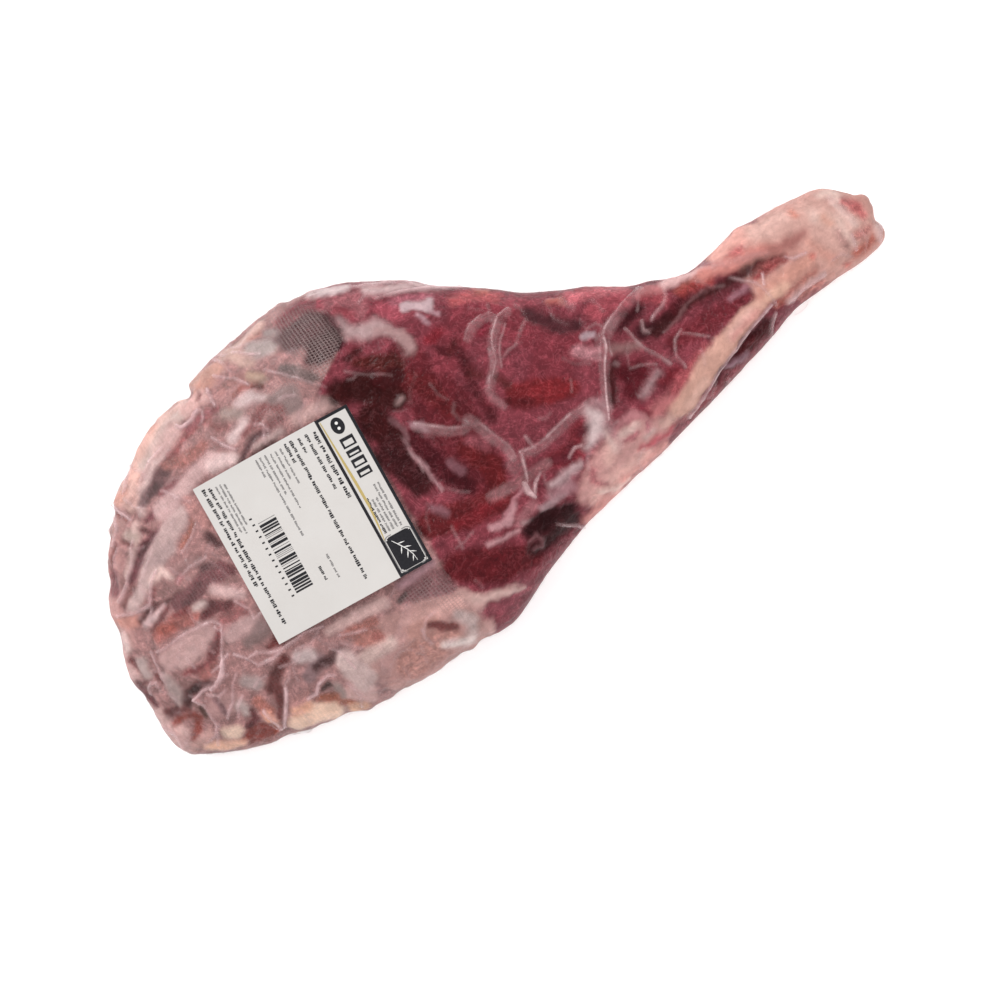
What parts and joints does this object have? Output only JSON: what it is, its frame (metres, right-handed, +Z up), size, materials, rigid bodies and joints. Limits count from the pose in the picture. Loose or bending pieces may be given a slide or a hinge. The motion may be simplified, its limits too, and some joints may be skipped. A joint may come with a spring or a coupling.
{
  "type": "vacuum-packed wild boar leg on the bone",
  "caption": "Raw hind leg of game on the bone, lying flat in tight clear vacuum film, with a gauze bone guard over the rump end and a square paper label on top.",
  "frame": {"origin": "on the floor, under the middle of the pack's bounding box", "axes": "+X along the leg from the rump to the hock, +Y across it to the hamstring side, +Z up"},
  "size_m": [0.503, 0.2272, 0.0879],
  "materials": {
    "meat": "moist raw meat with fat, membrane and a bared shin bone",
    "gauze": "waxed open-weave cotton gauze",
    "film": "glossy clear vacuum film, creased",
    "label_paper": null
  },
  "bodies": {
    "root": {"leg": "meat", "bone_guard_gauze": "gauze", "film_top": "film", "film_bottom": "film", "label": "label_paper"}
  },
  "joints": []
}
